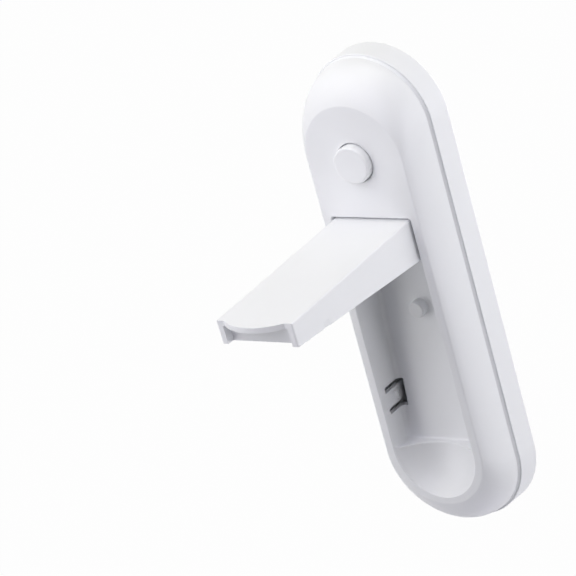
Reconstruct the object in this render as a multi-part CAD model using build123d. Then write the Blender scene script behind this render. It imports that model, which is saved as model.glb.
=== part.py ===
"""A child-safety lock for a door lever, built from its separate pieces.

The lock is stuck to a door under the lever. Its arm swings out and stands under the lever, so that the
lever can't be pressed down. Pressing the round button bends a steel leaf away from the arm's tooth, and the
arm can be folded down into the recess in the front.

Frame: millimetres, +X to the right, +Y into the door, +Z up, with the origin at the centre of the adhesive
pad's outer face. Depths in the names below are measured forwards, towards the room, from the back shell's
rear face, which lies one pad thickness in front of the door.
"""
from build123d import *
import math
import os

# Back shell: a tray with slightly tapering sides
lock_length = 150.0
back_width = 42.5
shell_depth = 8.25
shell_taper = 0.3
shell_floor = 2.2
shell_wall = 2.6
shell_edge_round = 0.5
shell_rim_round = 0.25

# Front housing: a crowned cover with a flat facet, standing on a tapering skirt that leaves a shadow gap
gap_depth = 0.95
cover_step = 0.8
skirt_step = 1.6
skirt_foot_step = 0.5
cover_depth = 20.75
cover_wall = 1.9
facet_wall = 2.0
facet_width = 33.6
facet_upper_inset = 6.55
facet_lower_inset = 6.15
crown_share = 0.9
facet_edge_round = 0.8
crown_depth_shares = (0.0, 0.25, 0.5, 0.7, 0.85, 0.95, 1.0)

# Recess that takes the folded arm, with its sloping floor
recess_width = 28.2
recess_wall = 1.6
recess_above_arm = 0.4
foot_above_bottom = 27.8
floor_depth_at_hub = 7.0
hub_room_below_hub = 0.1
hub_room_lip = 5.25
hub_head_room = 3.0
corner_round = 1.2
foot_round = 0.7
rim_round = 0.35
rim_corner_round = 1.0

# Finger dish below the recess, part of a stretched ball, whose bottom lies a step in front of the floor
dish_hollow = 6.6
dish_step = 1.65
dish_length = 14.9
lip_round = 0.6
lip_centre_share = 0.9
lip_arch_shares = (0.04, 0.1, 0.2, 0.35, 0.5, 0.65, 0.8, 0.9, 0.96)

# Spring tongues in the recess's side walls, each in a U-shaped slot
tongue_above_foot = 14.5
tongue_width = 4.9
tongue_slot = 1.85
tongue_below_facet = 3.05
tongue_floor_slot = 2.2
tongue_ridge_width = 2.4
tongue_ridge_past_edge = 0.94
tongue_ridge_height = 0.6
tongue_ridge_foot = 1.4

# Swing arm, in its own directions: out from the pivot, and up from the pivot
pivot_depth = 13.1
pivot_below_top = 53.9
arm_droop_degrees = 1.84
arm_side_gap = 0.8
arm_rise = 7.5
arm_end_clearance = 0.3
arm_plate = 1.7
arm_wall = 2.0
arm_floor_clearance = 0.75
arm_web_setback = 2.5
arm_web = 1.6
arm_nose_reach = 3.5
arm_nose_radius = 17.5
arm_edge_round = 0.5
arm_rib_reach = 45.0
arm_rib_depth = 6.0
arm_hub_wall = 1.7
arm_hub_opening = 1.6
arm_hub_rib = 1.6
arm_hub_rib_offset = 6.5
arm_hub_rib_reach = 16.0
arm_thrust_radius = 4.2
arm_thrust_height = 0.6
detent_width = 2.8
detent_height = 1.9
detent_hollow = 0.5

# Return spring, coiled round the arm's bearing tube, which swings the arm out under the lever
return_wire = 0.7
return_mean_radius = 4.2
return_turns = 6.0
return_pitch = 1.2
return_leg_clearance = 0.05
return_rear_leg = 10.2
return_front_leg_degrees = 43.0

# Tooth on the arm's hub, which the latch leaf stands on
tooth_past_leaf = 1.2
tooth_thickness = 2.4
tooth_width = 8.0

# Pivot pin and the posts that hold it
pin_radius = 1.5
pin_running_clearance = 0.04
bearing_wall = 1.9
post_thickness = 1.4
post_width = 2.8

# Release button
button_below_top = 28.55
button_radius = 5.75
button_hole_radius = 6.08
button_stand = 2.44
button_travel = 2.3
button_cap = 2.2
button_edge_round = 0.6
button_flange_radius = 7.4
button_flange = 1.5
button_tube_radius = 4.7
button_bore_radius = 3.3
button_leaf_push = 0.45

# Button spring and the post it stands on
spring_wire = 0.5
spring_mean_radius = 2.25
spring_turns = 8.5
spring_end_clearance = 0.05
spring_seat_radius = 3.0
spring_seat_depth = 7.6
spring_post_radius = 1.5
spring_post_height = 8.0

# Latch leaf of spring steel, screwed down at its upper end
leaf_thickness = 0.6
leaf_width = 9.0
leaf_above_button = 19.55
leaf_behind_hub = 0.3
leaf_eye_radius = 6.0
leaf_hole_radius = 3.7
leaf_tip_clearance = 0.1
leaf_pad_height = 10.0
leaf_pad_margin = 0.8
leaf_screw_inset = 5.0
leaf_screw_offset = 2.6

# Stop block under the tooth, with the return spring's rear leg hooked under it
stop_past_leaf = 0.2
stop_clearance = 0.2

# Soft bumper on the recess floor
bumper_reach = 26.4
bumper_radius = 2.6
bumper_rise = 2.9
bumper_seat = 0.45
bumper_stem_radius = 1.4
bumper_edge_round = 0.5

# Housing screws, driven from behind, and leaf screws, driven from the front
upper_screw_offset = 12.0
upper_screw_below_top = 21.0
lower_screw_offset = 9.0
lower_screw_above_bottom = 19.0
screw_radius = 1.3
screw_length = 11.5
screw_head_radius = 2.3
screw_head_height = 1.6
screw_well_depth = 2.0
screw_boss_radius = 4.0
screw_pillar_radius = 3.2
leaf_screw_radius = 0.9
leaf_screw_length = 3.6
leaf_screw_head_radius = 1.7
leaf_screw_head_height = 1.1
cross_recess_width = 0.55
cross_recess_share = 0.6
cross_recess_depth_share = 0.5

# Stiffening ribs on the back shell's floor
rib_thickness = 1.2
rib_height = 2.2
rib_offset = 7.5
rib_end_inset = 1.2
cross_rib_spaces = 5
cross_rib_half_length = 15.0

# Adhesive pad on the rear face
pad_thickness = 0.8
pad_width = 33.0
pad_end_inset = 27.0

# Clearances
press_clearance = 0.02
seat_clearance = 0.1
side_clearance = 0.4
overrun = 1.0

# Sizes that follow from the ones above
back_radius = back_width / 2
end_centre = (lock_length - back_width) / 2
shell_front_radius = back_radius - shell_taper
cover_radius = shell_front_radius - cover_step
skirt_radius = shell_front_radius - skirt_step
skirt_foot_radius = shell_front_radius - skirt_foot_step
gap_front_depth = shell_depth + gap_depth
facet_radius = facet_width / 2
recess_radius = recess_width / 2
recess_outer = recess_radius + recess_wall
facet_upper_centre = end_centre - facet_upper_inset
facet_lower_centre = facet_lower_inset - end_centre
button_height = lock_length / 2 - button_below_top
pivot_height = lock_length / 2 - pivot_below_top
recess_top = pivot_height + arm_rise + recess_above_arm
recess_foot = foot_above_bottom - lock_length / 2
floor_end = pivot_height - arm_rise - hub_room_below_hub
recess_lip_depth = cover_depth - hub_room_lip
floor_depth_at_foot = cover_depth - dish_hollow - dish_step
dish_below_rim = dish_hollow - rim_round
dish_ball_radius = (recess_radius ** 2 + dish_below_rim ** 2) / (2 * dish_below_rim)
dish_ball_depth = cover_depth - dish_hollow + dish_ball_radius
dish_half_turn = math.asin(recess_radius / dish_ball_radius)
tongue_middle = recess_foot + tongue_above_foot
tongue_root_depth = cover_depth - tongue_below_facet
bumper_height = pivot_height - bumper_reach
upper_screw_place = (upper_screw_offset, lock_length / 2 - upper_screw_below_top)
lower_screw_place = (lower_screw_offset, lower_screw_above_bottom - lock_length / 2)
pad_length = lock_length - 2 * pad_end_inset
rib_low_end = recess_foot + rib_end_inset
rib_high_end = floor_end - rib_end_inset
arm_half = recess_radius - arm_side_gap
arm_reach = pivot_height - recess_foot - arm_end_clearance
arm_end_height = pivot_depth + arm_rise - floor_depth_at_foot - arm_floor_clearance
arm_taper = (floor_depth_at_foot - floor_depth_at_hub) / (floor_end - recess_foot)
bearing_radius = pin_radius + bearing_wall
web_outer_reach = arm_reach - arm_web_setback
flange_front_depth = cover_depth - facet_wall - seat_clearance
flange_rear_depth = flange_front_depth - button_flange
leaf_front_depth = pivot_depth - arm_rise - leaf_behind_hub
leaf_depth = leaf_front_depth - leaf_thickness
tooth_radius = pivot_depth - leaf_depth + tooth_past_leaf
stop_depth = leaf_depth + stop_past_leaf
button_tube_depth = leaf_front_depth + button_travel - button_leaf_push
leaf_top = button_height + leaf_above_button
leaf_screw_height = leaf_top - leaf_screw_inset
tooth_top = pivot_height + tooth_thickness / 2
leaf_tip = tooth_top + leaf_tip_clearance
bumper_seat_depth = floor_depth_at_foot - (bumper_height - recess_foot) * arm_taper - bumper_seat
bumper_front_depth = bumper_seat_depth + bumper_seat + bumper_rise
bumper_rib_depth = pivot_depth + arm_rise - bumper_front_depth - seat_clearance


def face_plane(depth):
    """A plane parallel to the door. Its drawing directions are +X and +Z, and it faces the room."""
    return Plane(origin=(0, -(pad_thickness + depth), 0), x_dir=(1, 0, 0), z_dir=(0, -1, 0))


def block(x_range, depth_range, z_range):
    """A box between two values of X, two depths and two heights."""
    (x0, x1), (d0, d1), (z0, z1) = x_range, depth_range, z_range
    outline = Pos((x0 + x1) / 2, (z0 + z1) / 2) * Rectangle(x1 - x0, z1 - z0)
    return extrude(face_plane(d0) * outline, d1 - d0)


def rod(x, z, radius, depth_0, depth_1):
    """A round rod square to the door, between two depths."""
    return extrude(face_plane(depth_0) * Pos(x, z) * Circle(radius), depth_1 - depth_0)


def slab(profile, half_width):
    """A profile drawn in depth and height, thickened both ways along X."""
    plane = Plane(origin=(0, -pad_thickness, 0), x_dir=(0, -1, 0), z_dir=(-1, 0, 0))
    return extrude(plane * profile, half_width, both=True)


def polygon(*points):
    """A face inside straight edges through the points."""
    return make_face(Polyline(*points, close=True))


def capsule(radius, upper, lower):
    """An upright outline: two straight sides and a half circle about each of two centres."""
    return make_face([
        Line((radius, lower), (radius, upper)),
        ThreePointArc((radius, upper), (0, upper + radius), (-radius, upper)),
        Line((-radius, upper), (-radius, lower)),
        ThreePointArc((-radius, lower), (0, lower - radius), (radius, lower)),
    ])


def both_sides(solid):
    """A solid and its mirror image in the plane X = 0."""
    return solid + mirror(solid, about=Plane.YZ)


def floor_depth(z):
    """The depth of the recess's sloping floor at a height."""
    return floor_depth_at_foot - (z - recess_foot) * arm_taper


def arm_low(reach):
    """The height of the arm's lower edge above the pivot, at a distance out from the pivot."""
    return arm_rise - arm_end_height - (arm_reach - reach) * arm_taper


def crown_outline(depth, inset):
    """The cover's outline at a depth, drawn in by a wall. The crown follows part of an ellipse."""
    share = crown_share * (depth - gap_front_depth) / (cover_depth - gap_front_depth)
    inward = (1 - math.sqrt(1 - share ** 2)) / (1 - math.sqrt(1 - crown_share ** 2))
    radius = cover_radius + (facet_radius - cover_radius) * inward
    upper = end_centre + (facet_upper_centre - end_centre) * inward
    lower = -end_centre + (facet_lower_centre + end_centre) * inward
    return face_plane(depth) * capsule(radius - inset, upper, lower)


def crown(front_depth, inset):
    """The crowned body of the cover, from the shadow gap to a front depth."""
    reach = front_depth - gap_front_depth
    return loft([crown_outline(gap_front_depth + reach * share, inset) for share in crown_depth_shares])


def dish(extra):
    """The ball that the finger dish is part of, grown by an extra thickness all round."""
    ball = scale(Sphere(dish_ball_radius + extra), by=(1, 1, dish_length / recess_radius))
    return Pos(0, -(pad_thickness + dish_ball_depth), recess_foot) * ball


def recess_space():
    """Everything that the folding arm needs: the recess, and the open space around its hub."""
    top_end = recess_top + hub_head_room
    sheath = polygon(
        (floor_depth(recess_foot), recess_foot),
        (cover_depth + overrun, recess_foot),
        (cover_depth + overrun, recess_top),
        (floor_depth(recess_top), recess_top),
    )
    space = slab(sheath, recess_radius)
    upright_corners = space.faces().sort_by(Axis.Z)[-1].edges().filter_by(Axis.Y)
    space = fillet(upright_corners, rim_corner_round)
    space = fillet(space.faces().sort_by(Axis.Y)[-1].edges().sort_by(Axis.Z)[0], foot_round)
    space = fillet(space.faces().sort_by(Axis.Y)[-1].edges().sort_by(Axis.Z)[1:], corner_round)
    hub_space = block((-recess_radius, recess_radius), (0, recess_lip_depth), (floor_end, top_end))
    return space + hub_space


def tongue_slots():
    """The U-shaped slots that free the spring tongues, with the slot in the floor beside each."""
    half = tongue_width / 2
    walls = (recess_radius, recess_outer + overrun)
    depths = (0, tongue_root_depth)
    upper = block(walls, depths, (tongue_middle + half, tongue_middle + half + tongue_slot))
    lower = block(walls, depths, (tongue_middle - half - tongue_slot, tongue_middle - half))
    beside = (recess_radius - tongue_floor_slot, recess_radius)
    reach = half + tongue_slot
    floor_slot = block(beside, (0, tongue_root_depth), (tongue_middle - reach, tongue_middle + reach))
    return both_sides(upper + lower + floor_slot)


def tongue_ridges():
    """The ridge on each tongue, which clicks into the hollow in the arm's side."""
    half = tongue_ridge_width / 2
    foot = tongue_ridge_foot / 2
    depth = pivot_depth + arm_low(pivot_height - tongue_middle) + tongue_ridge_past_edge
    middle_of_wall = recess_radius + recess_wall / 2
    section = polygon(
        (middle_of_wall, depth - foot),
        (recess_radius, depth - foot),
        (recess_radius - tongue_ridge_height, depth),
        (recess_radius, depth + foot),
        (middle_of_wall, depth + foot),
    )
    plane = Plane(origin=(0, -pad_thickness, tongue_middle - half), x_dir=(1, 0, 0), z_dir=(0, 0, -1))
    return both_sides(extrude(plane * section, -tongue_ridge_width))


def pin_slots():
    """The slots in the recess's walls that the pin drops into from behind."""
    width = 2 * (pin_radius + press_clearance)
    low, high = pivot_height - width / 2, pivot_height + width / 2
    slot = block((recess_radius - overrun, recess_outer + overrun), (0, pivot_depth), (low, high))
    end = slab(Pos(pivot_depth, pivot_height) * Circle(width / 2), recess_outer + overrun)
    return both_sides(slot) + end


def cover_shell():
    """The hollow crowned cover on its skirt, which spreads towards the back shell."""
    body = crown(cover_depth, 0)
    body = fillet(body.edges().group_by(Axis.Y)[0], facet_edge_round)
    foot = face_plane(shell_depth) * capsule(skirt_foot_radius, end_centre, -end_centre)
    neck = face_plane(gap_front_depth) * capsule(skirt_radius, end_centre, -end_centre)
    inside = face_plane(shell_depth) * capsule(cover_radius - cover_wall, end_centre, -end_centre)
    skirt = loft([foot, neck], ruled=True) - extrude(inside, gap_depth)
    return body - crown(cover_depth - facet_wall, cover_wall) + skirt


def recess_casing():
    """The walls round the recess and the dish, still solid."""
    front = cover_depth - facet_wall / 2
    top_end = recess_top + recess_wall
    foot_end = recess_foot - recess_wall
    casing = slab(polygon(
        (floor_depth(foot_end) - recess_wall, foot_end),
        (front, foot_end),
        (front, top_end),
        (floor_depth(top_end) - recess_wall, top_end),
    ), recess_outer)
    below = block((-recess_outer, recess_outer), (0, front), (-lock_length / 2, recess_foot))
    return casing + (dish(recess_wall) & below)


def screw_pillars():
    """The solid pillars that the housing screws bite into, and the pilot holes for them."""
    pillars, pilots = [], []
    for x, z in (upper_screw_place, lower_screw_place):
        pillars.append(both_sides(rod(x, z, screw_pillar_radius, shell_depth, cover_depth - facet_wall / 2)))
        end = screw_well_depth + screw_length + overrun
        pilots.append(both_sides(rod(x, z, screw_radius + press_clearance, 0, end)))
    return pillars, pilots


def front_housing():
    """The crowned cover with its facet, recess, finger dish, tongues and screw pillars."""
    pillars, pilots = screw_pillars()
    shell = cover_shell() + recess_casing() + pillars
    depths = (0, cover_depth - rim_round - press_clearance / 2)
    around_dish = block((-recess_outer, recess_outer), depths, (-lock_length / 2, recess_foot + overrun))
    shell -= recess_space() + (dish(0) & around_dish)
    shell -= tongue_slots()
    shell += tongue_ridges()
    shell -= pin_slots()
    shell -= pilots
    seat = rod(0, bumper_height, bumper_radius + press_clearance, bumper_seat_depth, bumper_front_depth)
    stem_hole = rod(0, bumper_height, bumper_stem_radius + press_clearance, 0, bumper_seat_depth)
    shell -= seat + stem_hole
    behind = cover_depth - facet_wall - overrun
    shell -= rod(0, button_height, button_hole_radius, behind, cover_depth + overrun)
    shell -= loft([lip_section(share) for share in lip_arch_shares])
    button_rim = shell.edges().filter_by(GeomType.CIRCLE).group_by(Axis.Y)[0].sort_by(Axis.Z)[-1]
    return fillet(button_rim, rim_round) - mouth()


def lip_section(share):
    """What is cut off the lip between recess and dish, part of the way along its arch.

    The arch follows the dish's ball. The cut is thickest in the middle, and its arc takes the corner off.
    """
    turn = dish_half_turn * (1 - 2 * share)
    outward = (math.sin(turn), math.cos(turn), 0)
    along = (-math.cos(turn), math.sin(turn), 0)
    bend = lip_round * math.sin(math.pi * share)
    centre = bend * lip_centre_share
    near, low, middle = -bend / 2, centre - bend, centre - bend / math.sqrt(2)
    outline = make_face([
        Polyline((low, centre), (near, centre), (near, near), (centre, near), (centre, low)),
        ThreePointArc((centre, low), (middle, middle), (low, centre)),
    ])
    x, y = dish_ball_radius * math.sin(turn), dish_ball_radius * math.cos(turn)
    place = (x, y - pad_thickness - dish_ball_depth, recess_foot)
    return Plane(origin=place, x_dir=outward, z_dir=along) * outline


def mouth():
    """A plug with the outline of the recess and dish that flares at the facet, to round their rim."""
    outline = make_face([
        Line((recess_radius, recess_foot), (recess_radius, recess_top)),
        Line((recess_radius, recess_top), (-recess_radius, recess_top)),
        Line((-recess_radius, recess_top), (-recess_radius, recess_foot)),
        EllipticalCenterArc((0, recess_foot), recess_radius, dish_length, start_angle=180, arc_size=180),
    ])
    outline = fillet(outline.vertices().group_by(Axis.Y)[-1], rim_corner_round)
    plug = extrude(face_plane(cover_depth - rim_round - press_clearance) * outline, rim_round + overrun)
    depths = (cover_depth, cover_depth + overrun)
    plate = block((-back_radius, back_radius), depths, (-lock_length, lock_length))
    flared = plug + plate
    return fillet(new_edges(plug, plate, combined=flared), rim_round)


def back_shell():
    """The tray behind the cover, with its bosses, the posts under the pin and the leaf's pad."""
    rear = face_plane(0) * capsule(back_radius, end_centre, -end_centre)
    rim = face_plane(shell_depth) * capsule(shell_front_radius, end_centre, -end_centre)
    body = loft([rear, rim], ruled=True)
    body = fillet(body.edges().group_by(Axis.Y)[-1], shell_edge_round)
    body = fillet(body.edges().group_by(Axis.Y)[0], shell_rim_round)
    inside = face_plane(shell_floor) * capsule(shell_front_radius - shell_wall, end_centre, -end_centre)
    shell = body - extrude(inside, shell_depth)

    for x, z in (upper_screw_place, lower_screw_place):
        shell += both_sides(rod(x, z, screw_boss_radius, 0, shell_depth))
    shell += stiffening_ribs() + spring_seat() + pin_posts() + leaf_pad() + stop_block()
    for x, z in (upper_screw_place, lower_screw_place):
        well = rod(x, z, screw_head_radius + side_clearance, 0, screw_well_depth)
        way = rod(x, z, screw_radius + seat_clearance, 0, shell_depth)
        shell -= both_sides(well + way)
    for x in (-leaf_screw_offset, leaf_screw_offset):
        bottom = leaf_front_depth - leaf_screw_length - seat_clearance
        shell -= rod(x, leaf_screw_height, leaf_screw_radius + press_clearance, bottom, leaf_depth)
    return shell


def stiffening_ribs():
    """Low ribs on the floor behind the recess."""
    depths = (shell_floor / 2, shell_floor + rib_height)
    half = rib_thickness / 2
    ribs = both_sides(block((rib_offset - half, rib_offset + half), depths, (rib_low_end, rib_high_end)))
    spacing = (rib_high_end - rib_low_end) / cross_rib_spaces
    for number in range(1, cross_rib_spaces):
        z = rib_low_end + number * spacing
        ribs += block((-cross_rib_half_length, cross_rib_half_length), depths, (z - half, z + half))
    return ribs


def spring_seat():
    """The round seat of the button's spring, with the post that keeps the spring upright."""
    seat = rod(0, button_height, spring_seat_radius, shell_floor / 2, spring_seat_depth)
    post_front = spring_seat_depth + spring_post_height
    post = rod(0, button_height, spring_post_radius, spring_seat_depth, post_front)
    return seat + chamfer(post.edges().sort_by(Axis.Y)[0], spring_post_radius / 3)


def pin_posts():
    """Two posts that close the pin's slots from behind, each hollowed to the pin."""
    middle = recess_radius + recess_wall / 2
    half_x, half_z = post_thickness / 2, post_width / 2
    post = block((middle - half_x, middle + half_x), (shell_floor / 2, pivot_depth),
                 (pivot_height - half_z, pivot_height + half_z))
    pin_outline = Pos(pivot_depth, pivot_height) * Circle(pin_radius + press_clearance)
    return both_sides(post) - slab(pin_outline, recess_outer + overrun)


def leaf_pad():
    """The raised pad that the leaf is screwed to."""
    half = leaf_width / 2 + leaf_pad_margin
    return block((-half, half), (shell_floor / 2, leaf_depth), (leaf_top - leaf_pad_height, leaf_top))


def stop_block():
    """The block under the tooth that keeps the arm from rising further."""
    top = pivot_height - tooth_thickness / 2 - stop_clearance
    bottom = pivot_height - return_mean_radius + return_wire / 2 + return_leg_clearance
    half = tooth_width / 2
    return block((-half, half), (shell_floor / 2, stop_depth), (bottom, top))


def arm_side_outline():
    """The arm's side view: a level top, a round hub end and a slanting lower edge."""
    low_end = arm_low(arm_reach)
    slope = math.atan(arm_taper)
    offset = -arm_low(0) * math.cos(slope)
    tail = 3 * math.pi / 2 + slope - math.acos(offset / arm_rise)
    tail_point = (arm_rise * math.cos(tail), arm_rise * math.sin(tail))
    middle = (math.pi / 2 + tail) / 2
    middle_point = (arm_rise * math.cos(middle), arm_rise * math.sin(middle))
    return make_face([
        Line((arm_reach, arm_rise), (0, arm_rise)),
        ThreePointArc((0, arm_rise), middle_point, tail_point),
        Line(tail_point, (arm_reach, low_end)),
        Line((arm_reach, low_end), (arm_reach, arm_rise)),
    ])


def arm_slab(profile, half_width):
    """A profile drawn out from the pivot and up from it, thickened both ways along X."""
    plane = Plane(origin=(0, 0, 0), x_dir=(0, -1, 0), z_dir=(-1, 0, 0))
    return extrude(plane * profile, half_width, both=True)


def arm_box(x_range, reach_range, rise_range):
    """A box in the arm's own directions."""
    (x0, x1), (r0, r1), (h0, h1) = x_range, reach_range, rise_range
    return Pos((x0 + x1) / 2, -(r0 + r1) / 2, (h0 + h1) / 2) * Box(x1 - x0, r1 - r0, h1 - h0)


def arm_hollow():
    """The open channel under the top plate, from the end web to the round wall of the hub."""
    inside = arm_half - arm_wall
    under = arm_rise - arm_plate
    hub_inside = arm_rise - arm_hub_wall
    deep = -(arm_rise + overrun)
    channel = arm_box((-inside, inside), (0, web_outer_reach - arm_web), (deep, under))
    hub = arm_slab(Circle(hub_inside), inside)
    opening = arm_box((-inside, inside), (deep, 0), (deep, -arm_hub_opening))
    return channel + hub + opening


def arm_nose():
    """The rounded tab that carries the top plate past the side walls."""
    under = arm_rise - arm_plate
    centre = arm_reach + arm_nose_reach - arm_nose_radius
    disc = Pos(0, -centre, under + arm_plate / 2) * Cylinder(arm_nose_radius, arm_plate)
    keep = arm_box((-arm_half, arm_half), (arm_reach - arm_nose_reach / 2, arm_reach + 2 * arm_nose_reach),
                   (under, arm_rise))
    return disc & keep


def arm_inner_ribs():
    """The bearing tube, the ribs beside it and the cross ribs under the top plate."""
    inside = arm_half - arm_wall / 2
    ribs = arm_slab(Circle(bearing_radius), inside)
    hub_middle = arm_rise - arm_hub_wall / 2
    under = arm_rise - arm_plate / 2
    diagonal = hub_middle * math.sqrt(2) / 2
    web = polygon(
        (0, under),
        (arm_hub_rib_reach, under),
        (arm_hub_rib_reach, bearing_radius),
        (bearing_radius, -bearing_radius / 2),
        (-bearing_radius, -bearing_radius / 2),
        (-hub_middle, 0),
        (-diagonal, diagonal),
    )
    half = arm_hub_rib / 2
    ribs += both_sides(Pos(arm_hub_rib_offset, 0, 0) * arm_slab(web, half))
    for reach, depth in ((bumper_reach, bumper_rib_depth), (arm_rib_reach, arm_rib_depth)):
        along = (reach - arm_web / 2, reach + arm_web / 2)
        ribs += arm_box((-inside, inside), along, (arm_rise - depth, under))
    return ribs


def detent_hollows():
    """The hollow in each side wall that the tongue's ridge clicks into: a ramp, deepest towards the tip."""
    reach = pivot_height - tongue_middle
    hub_end, tip_end = reach - detent_width / 2, reach + detent_width / 2
    ramp = polygon(
        (arm_half, hub_end),
        (arm_half - detent_hollow, tip_end),
        (arm_half + overrun, tip_end),
        (arm_half + overrun, hub_end),
    )
    plane = Plane(origin=(0, 0, arm_low(reach) + detent_height), x_dir=(1, 0, 0), z_dir=(0, 0, -1))
    return both_sides(extrude(plane * ramp, 2 * detent_height))


def swing_arm():
    """The arm, built level with its pivot at the origin, then tipped and moved to its place at rest."""
    body = arm_slab(arm_side_outline(), arm_half)
    top_edges = body.edges().filter_by(Axis.Y).group_by(Axis.Z)[-1]
    end_edges = body.edges().filter_by(Axis.Z)
    round_edges = body.edges().filter_by(GeomType.CIRCLE)
    body = fillet(top_edges + end_edges + round_edges, arm_edge_round)
    inside = arm_half - arm_wall
    past_web = (web_outer_reach, arm_reach + overrun)
    body -= arm_hollow() + arm_box((-inside, inside), past_web, (-arm_rise, arm_rise - arm_plate))
    body += arm_nose() + arm_inner_ribs()
    thrust_reach = arm_half + arm_thrust_height
    thrust_length = arm_thrust_height + arm_wall / 2
    thrust_disc = Rot(0, 90, 0) * Cylinder(arm_thrust_radius, thrust_length)
    body += both_sides(Pos(thrust_reach - thrust_length / 2, 0, 0) * thrust_disc)
    tooth_root = arm_rise - arm_hub_wall / 2
    half = tooth_width / 2
    tooth = arm_box((-half, half), (-tooth_radius, -tooth_root), (-tooth_thickness / 2, tooth_thickness / 2))
    body += Rot(-arm_droop_degrees, 0, 0) * tooth
    body -= detent_hollows()
    bore = arm_slab(Circle(pin_radius + pin_running_clearance), thrust_reach + overrun)
    body -= bore
    tipped = Rot(arm_droop_degrees, 0, 0) * body
    return Pos(0, -(pad_thickness + pivot_depth), pivot_height) * tipped


def least_gap(path, mean_radius, wire):
    """The least space between a coiled wire and itself, measured on points half a turn or more apart."""
    steps = math.ceil(path.length / wire)
    points = [path @ (step / steps) for step in range(steps + 1)]
    apart = math.ceil(math.pi * mean_radius / wire)
    pairs = [(a, b) for a in range(steps + 1) for b in range(a + apart, steps + 1)]
    return min((points[a] - points[b]).length for a, b in pairs) - wire


def arm_return_spring():
    """The torsion spring round the bearing tube: one leg under the stop block, one under the top plate."""
    slant = math.radians(return_front_leg_degrees)
    inner_radius = return_mean_radius - return_wire / 2
    climb = arm_rise - arm_plate - return_leg_clearance + inner_radius * math.cos(slant)
    turns = return_turns + (return_front_leg_degrees - arm_droop_degrees) / 360
    coil = Helix(return_pitch, turns * return_pitch, return_mean_radius)
    rear_leg = Line(coil @ 0 - (coil % 0) * return_rear_leg, coil @ 0)
    front_leg = Line(coil @ 1, coil @ 1 + (coil % 1) * (climb / math.sin(slant)))
    section = Plane(origin=rear_leg @ 0, z_dir=rear_leg % 0) * Circle(return_wire / 2)
    wire = sweep(section, path=Wire([rear_leg, coil, front_leg]))
    print("arm_return_spring least gap", least_gap(coil, return_mean_radius, return_wire))
    pivot = (turns * return_pitch / 2, -(pad_thickness + pivot_depth), pivot_height)
    return Plane(origin=pivot, x_dir=(0, 0, -1), z_dir=(-1, 0, 0)) * wire


def pivot_pin():
    """The steel pin through the hub, with chamfered ends."""
    pin = slab(Pos(pivot_depth, pivot_height) * Circle(pin_radius), recess_outer)
    return chamfer(pin.edges().filter_by(GeomType.CIRCLE), pin_radius / 5)


def release_button():
    """The round cap, its flange behind the facet and the tube that pushes the leaf."""
    cap_front = cover_depth + button_stand
    cap = rod(0, button_height, button_radius, flange_rear_depth, cap_front)
    cap = fillet(cap.edges().filter_by(GeomType.CIRCLE).sort_by(Axis.Y)[0], button_edge_round)
    flange = rod(0, button_height, button_flange_radius, flange_rear_depth, flange_front_depth)
    tube = rod(0, button_height, button_tube_radius, button_tube_depth, flange_rear_depth)
    bore = rod(0, button_height, button_bore_radius, button_tube_depth, cap_front - button_cap)
    return cap + flange + tube - bore


def button_spring():
    """The coil spring between the seat on the back shell and the inside of the cap."""
    start = spring_seat_depth + spring_wire / 2 + spring_end_clearance
    end = cover_depth + button_stand - button_cap - spring_wire / 2 - spring_end_clearance
    length = end - start
    path = Helix(length / spring_turns, length, spring_mean_radius)
    section = Plane(origin=path @ 0, z_dir=path % 0) * Circle(spring_wire / 2)
    coil = sweep(section, path=path)
    print("button_spring least gap", least_gap(path, spring_mean_radius, spring_wire))
    return Pos(0, -(pad_thickness + start), button_height) * Rot(90, 0, 0) * coil


def latch_leaf():
    """The flat steel leaf: screwed down at the top, with an eye round the spring seat."""
    middle = (leaf_tip + leaf_top) / 2
    outline = Pos(0, middle) * Rectangle(leaf_width, leaf_top - leaf_tip)
    outline += Pos(0, button_height) * Circle(leaf_eye_radius)
    outline -= Pos(0, button_height) * Circle(leaf_hole_radius)
    for x in (-leaf_screw_offset, leaf_screw_offset):
        outline -= Pos(x, leaf_screw_height) * Circle(leaf_screw_radius + seat_clearance)
    return extrude(face_plane(leaf_depth) * outline, leaf_thickness)


def arm_bumper():
    """The soft round bumper that the folded arm rests on, with its stem through the floor."""
    head = rod(0, bumper_height, bumper_radius, bumper_seat_depth, bumper_front_depth)
    head = fillet(head.edges().filter_by(GeomType.CIRCLE).sort_by(Axis.Y)[0], bumper_edge_round)
    stem = rod(0, bumper_height, bumper_stem_radius, bumper_seat_depth - recess_wall, bumper_seat_depth)
    return head + stem


def screw(radius, length, head_radius, head_height):
    """A pan-head screw along -Y, its head's underside at the origin, with a cross recess."""
    shank = extrude(Plane.XZ * Circle(radius), length)
    shank = chamfer(shank.edges().sort_by(Axis.Y)[0], radius / 2)
    head = extrude(Plane.XZ * Circle(head_radius), -head_height)
    head = fillet(head.edges().sort_by(Axis.Y)[-1], head_height / 2)
    reach = head_radius * cross_recess_share
    cross = Rectangle(2 * reach, cross_recess_width) + Rectangle(cross_recess_width, 2 * reach)
    depth = head_height * cross_recess_depth_share
    recess_plane = Plane(origin=(0, head_height - depth, 0), x_dir=(1, 0, 0), z_dir=(0, -1, 0))
    return shank + head - extrude(recess_plane * cross, -2 * depth)


def housing_screws():
    """Four screws that hold the two housings together, driven from behind."""
    one = screw(screw_radius, screw_length, screw_head_radius, screw_head_height)
    places = [(side * x, z) for x, z in (upper_screw_place, lower_screw_place) for side in (-1, 1)]
    return Compound([Pos(x, -(pad_thickness + screw_well_depth), z) * one for x, z in places])


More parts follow.
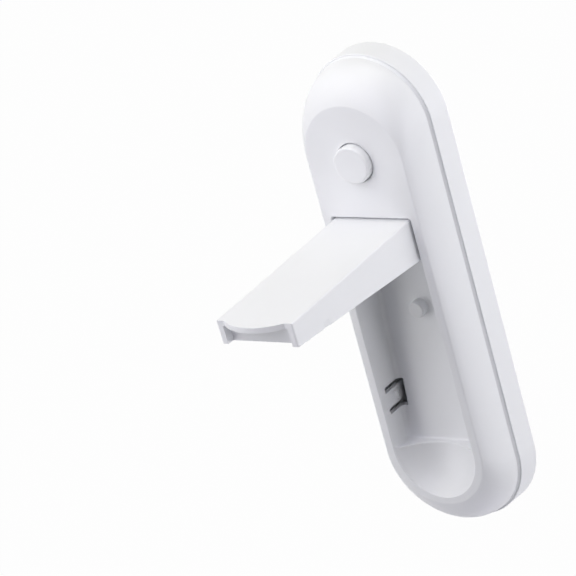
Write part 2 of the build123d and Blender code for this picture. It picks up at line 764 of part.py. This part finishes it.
def leaf_screws():
    """Two small screws that hold the leaf down on its pad, driven from the front."""
    one = screw(leaf_screw_radius, leaf_screw_length, leaf_screw_head_radius, leaf_screw_head_height)
    y = -(pad_thickness + leaf_front_depth)
    places = [Pos(x, y, leaf_screw_height) for x in (-leaf_screw_offset, leaf_screw_offset)]
    return Compound([place * Rot(0, 0, 180) * one for place in places])


def adhesive_pad():
    """The foam tape that holds the lock on the door."""
    radius = pad_width / 2
    centre = (pad_length - pad_width) / 2
    return extrude(face_plane(-pad_thickness) * capsule(radius, centre, -centre), pad_thickness)


os.makedirs("parts", exist_ok=True)
PIECES = {
    "front_housing": front_housing,
    "back_shell": back_shell,
    "swing_arm": swing_arm,
    "arm_return_spring": arm_return_spring,
    "pivot_pin": pivot_pin,
    "release_button": release_button,
    "button_spring": button_spring,
    "latch_leaf": latch_leaf,
    "leaf_screws": leaf_screws,
    "arm_bumper": arm_bumper,
    "housing_screws": housing_screws,
    "adhesive_pad": adhesive_pad,
}
for name, make in PIECES.items():
    export_step(make(), f"parts/{name}.step")
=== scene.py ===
# %% [markdown]
# This lesson dresses a child-safety lock. The lock is a long body of white plastic with round ends, and an arm
# that swings out of it and folds back into it. The pieces come at their real size from a CAD model, so nothing
# here moves or resizes them. The lesson gives each piece its surface, winds one spring anew, and puts a plain
# studio round the lock.
#
# The frame comes first, because every later step measures itself against it.

# %% Load the frame and note its size
import math

import bpy
import numpy as np
from mathutils import Matrix, Vector


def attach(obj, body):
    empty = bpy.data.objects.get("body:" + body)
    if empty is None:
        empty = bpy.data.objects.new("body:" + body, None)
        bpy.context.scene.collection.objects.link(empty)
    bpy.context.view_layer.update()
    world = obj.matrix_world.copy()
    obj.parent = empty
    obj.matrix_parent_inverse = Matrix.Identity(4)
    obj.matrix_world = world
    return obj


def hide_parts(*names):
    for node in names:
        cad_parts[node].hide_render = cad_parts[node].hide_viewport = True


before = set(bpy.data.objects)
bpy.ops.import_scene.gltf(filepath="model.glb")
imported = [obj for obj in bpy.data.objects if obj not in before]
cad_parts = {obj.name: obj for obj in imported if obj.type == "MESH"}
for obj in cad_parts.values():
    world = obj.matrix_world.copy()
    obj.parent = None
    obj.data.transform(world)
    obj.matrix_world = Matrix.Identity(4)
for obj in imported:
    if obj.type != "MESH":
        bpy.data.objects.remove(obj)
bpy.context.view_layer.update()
MM = 0.001
print("pieces from the CAD model:", ", ".join(sorted(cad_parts)))

# %% [markdown]
# The camera stands to the right of the lock and above it, and is rolled, so that the upright body leans in the
# picture. A camera can be aimed with a constraint, or placed by three turns: an azimuth round the upright axis,
# an elevation above the level, and a roll about its own line of sight. The turns are kept as plain angles here,
# because each then says what a photographer did, and nothing has to be baked later. The lens is long, so the
# lock shows with little perspective.

# %% Place the camera
CAMERA_PLACE = Vector((702.431, -874.637, 457.573)) * MM
CAMERA_AZIMUTH = 40.9155
CAMERA_ELEVATION = 21.8293
CAMERA_ROLL = 15.6347
CAMERA_LENS = 259.092
SENSOR_WIDTH = 36.0
CAMERA_CLIP_START = 0.05


def camera_turn(azimuth, elevation, roll):
    """The camera's turn, from three angles in degrees.

    The level sideways direction is the cosine and sine of the azimuth. The line of sight dips below the level
    by the elevation. A roll turns the sideways and upward directions about the line of sight.
    """
    a, e, r = (math.radians(angle) for angle in (azimuth, elevation, roll))
    level = Vector((math.cos(a), math.sin(a), 0))
    sight = Vector((-math.sin(a) * math.cos(e), math.cos(a) * math.cos(e), -math.sin(e)))
    up = level.cross(sight)
    right = math.cos(r) * level - math.sin(r) * up
    return Matrix((right, right.cross(sight), -sight)).transposed().to_4x4()


camera_data = bpy.data.cameras.new("camera")
camera_data.sensor_width = SENSOR_WIDTH
camera_data.lens = CAMERA_LENS
camera_data.clip_start = CAMERA_CLIP_START
camera = bpy.data.objects.new("camera", camera_data)
facing = camera_turn(CAMERA_AZIMUTH, CAMERA_ELEVATION, CAMERA_ROLL)
camera.matrix_world = Matrix.Translation(CAMERA_PLACE) @ facing
bpy.context.scene.collection.objects.link(camera)
bpy.context.scene.camera = camera
print("camera", round(CAMERA_PLACE.length / MM), "mm from the middle of the back")

# %% [markdown]
# Every finish below is a small tree of shader nodes, and so are the white surroundings. Adding nodes and links
# one call at a time makes long code that hides the idea. One helper that makes a node, sets its options and
# fills or links its sockets keeps each finish down to the few lines that matter.

# %% A helper for shader nodes
def add_node(tree, kind, sockets=None, **options):
    """Make one shader node. A socket is given a value, or another node's output, which is then linked to it."""
    made = tree.nodes.new("ShaderNode" + kind)
    for name, value in options.items():
        setattr(made, name, value)
    for name, value in (sockets or {}).items():
        if isinstance(value, bpy.types.NodeSocket):
            tree.links.new(value, made.inputs[name])
        else:
            made.inputs[name].default_value = value
    return made


def seen_directly(tree):
    """One for what the camera, a reflection or a transmission sees directly, and nought for scattered light."""
    path = add_node(tree, "LightPath")
    first = add_node(tree, "Math", {0: path.outputs["Is Camera Ray"], 1: path.outputs["Is Glossy Ray"]},
                     operation="MAXIMUM")
    return add_node(tree, "Math", {0: first.outputs[0], 1: path.outputs["Is Transmission Ray"]},
                    operation="MAXIMUM").outputs[0]


print("helpers ready for Blender", bpy.app.version_string)

# %% [markdown]
# The lock is photographed against pure white. A white backdrop could be lit until it burns out, but that light
# would wash over the lock as well. Here the floor and the sky are white only to the camera and to reflections,
# and the light that they scatter is set apart from that. The floor lies far below the lock, which is stuck high
# up in use, so the lock's shadow on it is wide and faint, and the camera, which looks down, sees floor
# everywhere behind the lock.

# %% Lay the floor and set the sky
FLOOR_HEIGHT = -1.3
FLOOR_HALF = 6.0
FLOOR_SHADOW_SHARE = 0.015
FLOOR_COLOUR = (0.9, 0.9, 0.9, 1)
WORLD_STRENGTH = 0.05
WHITE = (1, 1, 1, 1)


def level_sheet(name, half, height, steps=2):
    """A level square: a grid of steps by steps points, with X and Y running evenly from minus half to half."""
    x, y = np.meshgrid(np.linspace(-half, half, steps), np.linspace(-half, half, steps))
    points = np.stack([x, y, np.full_like(x, height)], axis=-1).reshape(-1, 3)
    corner = (np.arange(steps - 1)[:, None] * steps + np.arange(steps - 1)).ravel()
    faces = np.stack([corner, corner + 1, corner + steps + 1, corner + steps], axis=-1)
    mesh = bpy.data.meshes.new(name)
    mesh.from_pydata(points.tolist(), [], faces.tolist())
    piece = bpy.data.objects.new(name, mesh)
    bpy.context.scene.collection.objects.link(piece)
    return piece


def white_ground():
    """Almost pure white where it is seen directly, plain pale where it scatters light."""
    material = bpy.data.materials.new("white_ground")
    material.use_nodes = True
    tree = material.node_tree
    tree.nodes.clear()
    share = add_node(tree, "Math", {0: seen_directly(tree), 1: 1 - FLOOR_SHADOW_SHARE}, operation="MULTIPLY")
    pale = add_node(tree, "BsdfDiffuse", {"Color": FLOOR_COLOUR})
    glow = add_node(tree, "Emission", {"Color": WHITE, "Strength": 1.0})
    mixed = add_node(tree, "MixShader", {0: share.outputs[0], 1: pale.outputs[0], 2: glow.outputs[0]})
    add_node(tree, "OutputMaterial", {"Surface": mixed.outputs[0]})
    return material


def white_sky():
    """A world that is white where it is seen directly, and a dim even light for everything else."""
    world = bpy.data.worlds.new("white_sky")
    world.use_nodes = True
    tree = world.node_tree
    tree.nodes.clear()
    dim = add_node(tree, "Background", {"Color": WHITE, "Strength": WORLD_STRENGTH})
    bright = add_node(tree, "Background", {"Color": WHITE, "Strength": 1.0})
    mixed = add_node(tree, "MixShader", {0: seen_directly(tree), 1: dim.outputs[0], 2: bright.outputs[0]})
    add_node(tree, "OutputWorld", {"Surface": mixed.outputs[0]})
    return world


floor = level_sheet("floor", FLOOR_HALF, FLOOR_HEIGHT)
floor.data.materials.append(white_ground())
bpy.context.scene.world = white_sky()
print("floor", round(FLOOR_HEIGHT / MM), "mm below the middle of the lock")

# %% [markdown]
# A white object shows its form only by shades of grey, so the lamps matter more than on a coloured one. The
# studio is a cage of square soft lights, all turned to the lock. They stand near, about four lock lengths away,
# because a near lamp shades even a flat face from one end to the other, and large ones give the slow changes of
# shade that the crowned cover needs. A single sun or a sky picture would be less work, but neither lets each
# side be set by itself. Some lamps are a little bluer than the others, as in a real studio, so that the shaded
# sides turn faintly blue. White plastic throws most of its light on, so the light may bounce a dozen times
# before it is dropped. With fewer bounces the recess and its slots turn too dark.

# %% Light the studio
# Each lamp has the direction that it stands in, its power in watts and its colour.
WARM = (1.0, 1.0, 0.93)
COOL = (0.96, 0.96, 1.0)
COOLER = (0.86, 0.84, 1.0)
LAMPS = {
    "above": ((0.0, 0.0, 1.0), 1.47, WARM),
    "high_front": ((0.0, -0.7, 0.7), 1.2, COOLER),
    "high_front_left": ((-0.5, -0.5, 0.7), 1.17, WARM),
    "front_left": ((-0.7, -0.7, 0.0), 1.05, COOL),
    "low_front_left": ((-0.5, -0.5, -0.7), 0.44, COOL),
    "right": ((1.0, 0.0, 0.0), 2.12, COOL),
    "back_right": ((0.7, 0.7, 0.0), 1.14, COOL),
    "below": ((0.0, 0.0, -1.0), 0.8, COOLER),
    "back": ((0.0, 1.0, 0.0), 1.7, COOL),
}
LAMP_DISTANCE = 0.6
LAMP_SIZE = 0.45
LIGHT_BOUNCES = 12


def lamp(name, direction, power, colour):
    """A square soft light at a distance in a direction, facing the lock."""
    data = bpy.data.lights.new(name, "AREA")
    data.energy = power
    data.color = colour
    data.size = LAMP_SIZE
    light = bpy.data.objects.new(name, data)
    place = Vector(direction).normalized() * LAMP_DISTANCE
    light.matrix_world = Matrix.Translation(place) @ place.to_track_quat("Z", "Y").to_matrix().to_4x4()
    bpy.context.scene.collection.objects.link(light)
    return light


for name, (direction, power, colour) in LAMPS.items():
    lamp(name, direction, power, colour)
bpy.context.scene.view_settings.view_transform = "Standard"
bpy.context.scene.cycles.diffuse_bounces = LIGHT_BOUNCES
print("lamps:", ", ".join(LAMPS))

# %% [markdown]
# All finishes start alike: a principled shader, and noise that reads the piece's own object coordinates, in
# metres, so that a pattern has a real size and stays on the piece when it moves. Noise could also be wrapped
# with a UV map, but solid noise needs none and shows no seams. Three helpers cover what the finishes share: the
# shader, a noise of a given grain in millimetres, and a range that turns noise into a roughness or a tint.

# %% Helpers for the finishes
# Most of a noise's values lie between these two.
NOISE_LOW = 0.3
NOISE_HIGH = 0.7


def new_finish(name, sockets):
    """A material with one principled shader, its even values set on the shader's own sockets."""
    material = bpy.data.materials.new(name)
    material.use_nodes = True
    tree = material.node_tree
    tree.nodes.clear()
    shader = add_node(tree, "BsdfPrincipled", sockets)
    add_node(tree, "OutputMaterial", {"Surface": shader.outputs[0]})
    return material, tree, shader


def grain_place(tree, grain, stretch=(1, 1, 1)):
    """The piece's own coordinates, counted in grains, each drawn out along an axis by its stretch."""
    place = add_node(tree, "TexCoord")
    scale = tuple(1 / (grain * factor) for factor in stretch)
    return add_node(tree, "Mapping", {"Vector": place.outputs["Object"], "Scale": scale}).outputs[0]


def noise(tree, grain, stretch=(1, 1, 1), detail=2.0, roughness=0.5):
    """Solid noise whose lumps are one grain across."""
    sockets = {"Vector": grain_place(tree, grain, stretch), "Scale": 1.0, "Detail": detail,
               "Roughness": roughness}
    return add_node(tree, "TexNoise", sockets).outputs[0]


def spread(tree, value, low, high):
    """A value between low and high, in step with a noise."""
    return add_node(tree, "MapRange", {"Value": value, "From Min": NOISE_LOW, "From Max": NOISE_HIGH,
                                       "To Min": low, "To Max": high}).outputs[0]


def tint(tree, value, dark, light):
    """A colour between two close colours, in step with a noise."""
    ramp = add_node(tree, "ValToRGB", {"Fac": value})
    ramp.color_ramp.elements[0].position = NOISE_LOW
    ramp.color_ramp.elements[0].color = (*dark, 1)
    ramp.color_ramp.elements[1].position = NOISE_HIGH
    ramp.color_ramp.elements[1].color = (*light, 1)
    return ramp.outputs[0]


def bumps(tree, *layers):
    """Surface relief from several noises, each with its height in metres, laid one on another."""
    normal = None
    for height, depth in layers:
        sockets = {"Height": height, "Distance": depth, "Strength": 1.0}
        if normal is not None:
            sockets["Normal"] = normal
        normal = add_node(tree, "Bump", sockets).outputs[0]
    return normal


print("finish helpers ready")

# %% [markdown]
# The housings are moulded in white ABS. Such a surface isn't a mirror: the mould was sparked to a fine even
# texture, the melt leaves broad patches a trace duller or brighter, and thick white plastic lets a little light
# in, which softens its dark corners. The texture is a fine bump, the patches vary the roughness and the
# colour, and a short subsurface reach does the rest.

# %% Moulded white plastic
ABS_WHITE = np.array((0.872, 0.878, 0.889))
ABS_IOR = 1.53
LIGHT_SHARE = 0.08
LIGHT_REACH = 0.8 * MM
PATCH_GRAIN = 22 * MM
PATCH_DARK = 0.985
RUB_GRAIN = 6 * MM
MOULD_GRAIN = 0.22 * MM
WAVE_GRAIN = 9 * MM
WAVE_DEPTH = 0.02 * MM


def moulded_plastic(name, light, gloss, grain_depth):
    """White moulded plastic: gloss gives the lowest and highest roughness, grain_depth the mould's texture."""
    material, tree, shader = new_finish(name, {
        "IOR": ABS_IOR, "Subsurface Weight": LIGHT_SHARE, "Subsurface Scale": LIGHT_REACH,
        "Subsurface Radius": (1.0, 0.95, 0.9)})
    patches = noise(tree, PATCH_GRAIN, detail=3.0)
    shades = tint(tree, patches, tuple(PATCH_DARK * light), tuple(light))
    tree.links.new(shades, shader.inputs["Base Color"])
    rub = noise(tree, RUB_GRAIN, detail=4.0, roughness=0.6)
    tree.links.new(spread(tree, rub, *gloss), shader.inputs["Roughness"])
    relief = bumps(tree, (noise(tree, MOULD_GRAIN, detail=2.0), grain_depth),
                   (noise(tree, WAVE_GRAIN, detail=1.0), WAVE_DEPTH))
    tree.links.new(relief, shader.inputs["Normal"])
    return material


housing_white = moulded_plastic("housing_white", ABS_WHITE, (0.36, 0.44), 0.004 * MM)
arm_white = moulded_plastic("arm_white", ABS_WHITE, (0.32, 0.4), 0.003 * MM)
button_white = moulded_plastic("button_white", ABS_WHITE, (0.36, 0.44), 0.003 * MM)
print("moulded whites:", housing_white.name, arm_white.name, button_white.name)

# %% [markdown]
# Two pieces are soft. The bumper that the folded arm rests on is a rubbery plastic, duller than the housing,
# because its surface scatters light more widely. The pad on the back is foam tape: its cut surface is a crowd of
# tiny open cells. Modelling the cells would take millions of faces, so they are a Voronoi pattern used as
# relief: the distance from the nearest cell's middle makes each cell a little cup. The same distance also paints
# shade into the colour, a trace darker at the bottom of each cup.

# %% Soft bumper and foam tape
FOAM_WHITE = np.array((0.9, 0.9, 0.88))
FOAM_CELL = 0.35 * MM
# Painted shade: how much darker the foam's colour is made at the bottom of each cell's cup.
FOAM_CUP_PAINTED_SHADE = 0.92
CUP_DEPTH = 0.06 * MM
DULL_GRAIN = 5 * MM
LUMP_GRAIN = 3 * MM
LUMP_DEPTH = 0.05 * MM
BUMPER_SHADE = 0.97

bumper_white = moulded_plastic("bumper_white", BUMPER_SHADE * ABS_WHITE, (0.58, 0.7), 0.006 * MM)


def foam_tape(name, light, cell):
    """Dull foam whose open cells are about one cell size across, with painted shade that makes the bottom of each
    cup a trace darker.
    """
    material, tree, shader = new_finish(name, {"IOR": 1.45, "Specular IOR Level": 0.3})
    cups = add_node(tree, "TexVoronoi", {"Vector": grain_place(tree, cell), "Scale": 1.0}).outputs["Distance"]
    # Painted shade: the colour is darker where the cell distance is small, at the bottom of each cup.
    tree.links.new(tint(tree, cups, tuple(FOAM_CUP_PAINTED_SHADE * light), tuple(light)), shader.inputs["Base Color"])
    tree.links.new(spread(tree, noise(tree, DULL_GRAIN), 0.82, 0.94), shader.inputs["Roughness"])
    relief = bumps(tree, (cups, CUP_DEPTH), (noise(tree, LUMP_GRAIN), LUMP_DEPTH))
    tree.links.new(relief, shader.inputs["Normal"])
    return material


foam_white = foam_tape("foam_white", FOAM_WHITE, FOAM_CELL)
print("soft finishes:", bumper_white.name, foam_white.name)

# %% [markdown]
# The working parts inside are steel, and each way of making steel leaves its own marks. A rolled strip has lines
# along its length, a ground pin has rings round it, drawn wire is nearly smooth, and zinc plating is blotched.
# One recipe serves all four: a metallic shader whose colour, roughness and relief follow the same noise. What
# changes is the noise's grain and the axis that it is drawn out along. Brushed metal can also be made with the
# shader's anisotropy, but that needs tangents, which these solids don't have.

# %% Steel pieces
SPRING_STEEL = np.array((0.50, 0.50, 0.52))
STRIP_STEEL = np.array((0.60, 0.59, 0.57))
GROUND_STEEL = np.array((0.66, 0.66, 0.67))
ZINC = np.array((0.68, 0.70, 0.73))
MARK_DARK = 0.86


def marked_steel(name, light, gloss, grain, stretch, depth):
    """Bare or plated steel: grain and stretch give the marks that its making left, and depth their height."""
    material, tree, shader = new_finish(name, {"Metallic": 1.0})
    marks = noise(tree, grain, stretch, detail=3.0)
    tree.links.new(tint(tree, marks, tuple(MARK_DARK * light), tuple(light)), shader.inputs["Base Color"])
    tree.links.new(spread(tree, marks, *gloss), shader.inputs["Roughness"])
    tree.links.new(bumps(tree, (marks, depth)), shader.inputs["Normal"])
    return material


drawn_wire = marked_steel("drawn_wire", SPRING_STEEL, (0.24, 0.36), 0.6 * MM, (1, 1, 1), 0.002 * MM)
rolled_strip = marked_steel("rolled_strip", STRIP_STEEL, (0.26, 0.42), 0.12 * MM, (1, 1, 60), 0.002 * MM)
ground_pin = marked_steel("ground_pin", GROUND_STEEL, (0.16, 0.28), 0.08 * MM, (1, 60, 60), 0.001 * MM)
zinc_plate = marked_steel("zinc_plate", ZINC, (0.3, 0.48), 0.9 * MM, (1, 1, 1), 0.006 * MM)
print("steels:", drawn_wire.name, rolled_strip.name, ground_pin.name, zinc_plate.name)

# %% [markdown]
# Every piece from the CAD model now gets its finish in its own material slot. The shapes stay as they are,
# because they already carry the real roundings, slots and wells. Only the arm's spring is wound anew, in the
# next step. A table keeps each choice in sight, and a piece that the table forgot would stop the script with
# its name.

# %% Put each finish on its piece
FINISHES = {
    "front_housing": housing_white,
    "back_shell": housing_white,
    "swing_arm": arm_white,
    "release_button": button_white,
    "arm_bumper": bumper_white,
    "adhesive_pad": foam_white,
    "arm_return_spring": drawn_wire,
    "button_spring": drawn_wire,
    "latch_leaf": rolled_strip,
    "pivot_pin": ground_pin,
    "leaf_screws": zinc_plate,
    "housing_screws": zinc_plate,
}
for name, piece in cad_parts.items():
    piece.data.materials.clear()
    piece.data.materials.append(FINISHES[name])
print("pieces finished:", len(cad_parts))

# %% [markdown]
# One CAD piece can't stay stiff when the arm folds: the spring that swings the arm out. Its rear leg rests in the
# housing and its front leg lies under the arm's top plate, so a stiff spring would stick its front leg through
# the folded arm. The wire is therefore made in two lengths. The coil with its rear leg stays with the housing,
# and the front leg turns with the arm about the coil's own axis, so that it always leaves the coil straight
# along the wire. When the arm is folded, the leg leaves it a quarter turn before the coil's end, and the two
# overlap a little there. Bending the whole spring across the joint would be closer to the real twist, but would
# spoil its round turns.
#
# Each length is a ring of points carried along a path. Along a coil the ring needs no search for its direction:
# one of its axes points away from the coil's axis, and the other is square to that and to the wire.

# %% Wind the arm's spring
PIVOT = np.array((0, -13.9, 21.1)) * MM
SPRING_WIRE = 0.7 * MM
SPRING_RADIUS = 4.2 * MM
SPRING_PITCH = 1.2 * MM
WHOLE_TURNS = 6
LAST_TURN_DEGREES = 41.16
SPRING_TURNS = WHOLE_TURNS + LAST_TURN_DEGREES / 360
SPRING_AXIS = np.array((1, 0, 0))
REAR_LEG = 10.2 * MM
FRONT_LEG = 12.5 * MM
STEPS_PER_TURN = 36
WIRE_SIDES = 14


def coil_frame(turn):
    """Points of the coil's middle line, and there its outward and forward directions.

    A point goes round the X axis by the turn and along it by the pitch. It starts under the pivot, at the right
    end, and goes round towards the room. Forward is the sum of the round step and the step along the axis.
    """
    angle = 2 * math.pi * turn
    along = SPRING_PITCH * (turn - SPRING_TURNS / 2)
    outward = np.stack([np.zeros_like(turn), -np.sin(angle), -np.cos(angle)], axis=-1)
    around = np.stack([np.zeros_like(turn), -np.cos(angle), np.sin(angle)], axis=-1)
    step = 2 * math.pi * SPRING_RADIUS * around - SPRING_PITCH * SPRING_AXIS
    point = PIVOT + SPRING_RADIUS * outward - along[:, None] * SPRING_AXIS
    return point, outward, step / np.linalg.norm(step, axis=-1, keepdims=True)


def wire_piece(name, point, outward, forward):
    """A closed round wire: a ring of points at each point of a path.

    Sideways is forward x outward. A point of a ring is half a wire from the path: the cosine of its angle times
    outward, and the sine times sideways.
    """
    angle = np.linspace(0, 2 * math.pi, WIRE_SIDES, endpoint=False)
    sideways = np.cross(forward, outward)
    ring = np.cos(angle)[:, None] * outward[:, None] + np.sin(angle)[:, None] * sideways[:, None]
    points = (point[:, None] + SPRING_WIRE / 2 * ring).reshape(-1, 3)
    start = WIRE_SIDES * np.arange(len(point) - 1)[:, None]
    here, after = np.arange(WIRE_SIDES), np.roll(np.arange(WIRE_SIDES), -1)
    following = start + WIRE_SIDES
    sides = np.stack([start + here, start + after, following + after, following + here], axis=-1)
    ends = [here[::-1].tolist(), (len(points) - WIRE_SIDES + here).tolist()]
    mesh = bpy.data.meshes.new(name)
    mesh.from_pydata(points.tolist(), [], sides.reshape(-1, 4).tolist() + ends)
    mesh.polygons.foreach_set("use_smooth", [True] * sides[..., 0].size + [False] * len(ends))
    mesh.materials.append(drawn_wire)
    piece = bpy.data.objects.new(name, mesh)
    bpy.context.scene.collection.objects.link(piece)
    return piece


def straight_leg(place, outward, forward, start, end):
    """A straight path through a place, from one distance to another along forward."""
    reach = np.array((start, end))[:, None]
    outwards, forwards = (np.repeat(direction[None], 2, axis=0) for direction in (outward, forward))
    return place + reach * forward, outwards, forwards


turns = np.linspace(0, SPRING_TURNS, round(SPRING_TURNS * STEPS_PER_TURN) + 1)
coil = coil_frame(turns)
rear_leg = straight_leg(*(row[0] for row in coil), -REAR_LEG, 0)
front_leg = straight_leg(*(row[-1] for row in coil), 0, FRONT_LEG)
leg_and_coil = [np.concatenate([leg[:1], wound]) for leg, wound in zip(rear_leg, coil)]
spring_coil = wire_piece("spring_coil", *leg_and_coil)
spring_leg = wire_piece("spring_front_leg", *front_leg)
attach(spring_coil, "housing")
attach(spring_leg, "arm")
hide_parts("arm_return_spring")
print("spring:", round(SPRING_TURNS, 2), "turns of", SPRING_WIRE / MM, "mm wire")
